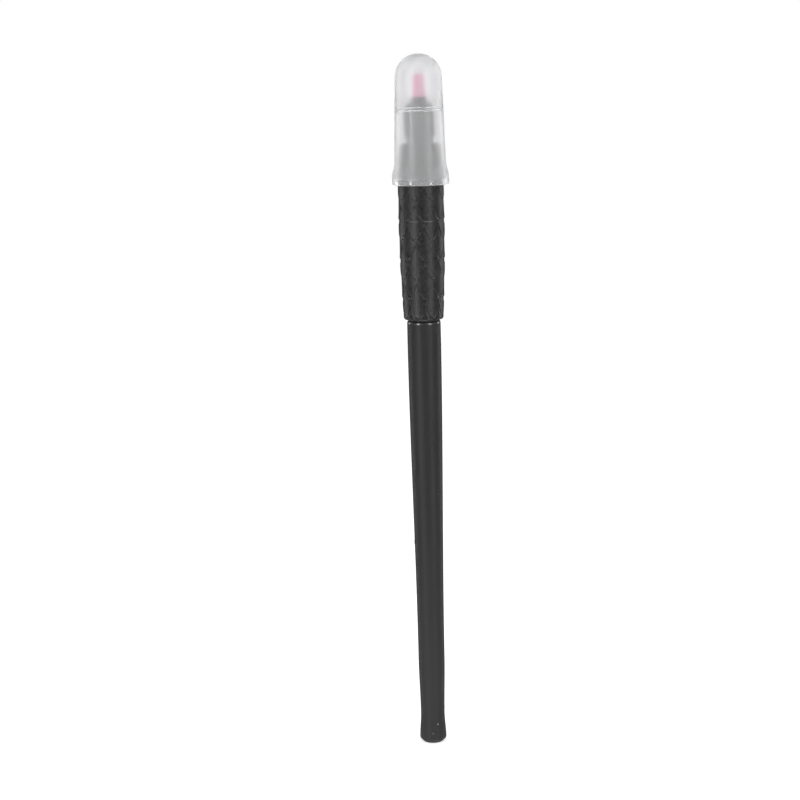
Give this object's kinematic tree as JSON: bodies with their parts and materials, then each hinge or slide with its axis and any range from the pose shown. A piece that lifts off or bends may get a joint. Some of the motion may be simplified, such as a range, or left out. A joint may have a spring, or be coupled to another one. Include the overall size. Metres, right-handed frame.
{
  "type": "lens cleaning pen",
  "caption": "Slim pen with a sticky gel tip for lifting dust off lenses, a scaled rubber grip, a tapered handle and a frosted pull-off cap.",
  "frame": {"origin": "centre of the tail's end face, where the pen would stand upright", "axes": "+Z along the pen's axis from the tail to the gel tip; the pen is round, so +X and +Y are any two directions square to it"},
  "size_m": [0.0125, 0.0124, 0.156],
  "materials": {
    "frosted_cap": "frosted translucent polypropylene",
    "pink_gel": "soft tacky gel with a wet shine",
    "natural_pin": "natural moulded plastic",
    "black_front": "satin moulded plastic",
    "black_core": "plain moulded plastic",
    "black_rubber": "matt rubber moulded with rows of scales",
    "black_handle": "satin moulded plastic"
  },
  "bodies": {
    "pen": {"gel_tip": "pink_gel", "tip_pin": "natural_pin", "nose_cone": "black_front", "neck": "black_front", "grip_core": "black_core", "grip_sleeve": "black_rubber", "handle": "black_handle", "tail_plug": "black_core"},
    "cap": {"cap": "frosted_cap"}
  },
  "joints": [
    {"name": "cap_pull", "type": "slide", "parent": "pen", "child": "cap", "axis": [0, 0, 1], "range_m": [0, 0.03]}
  ]
}
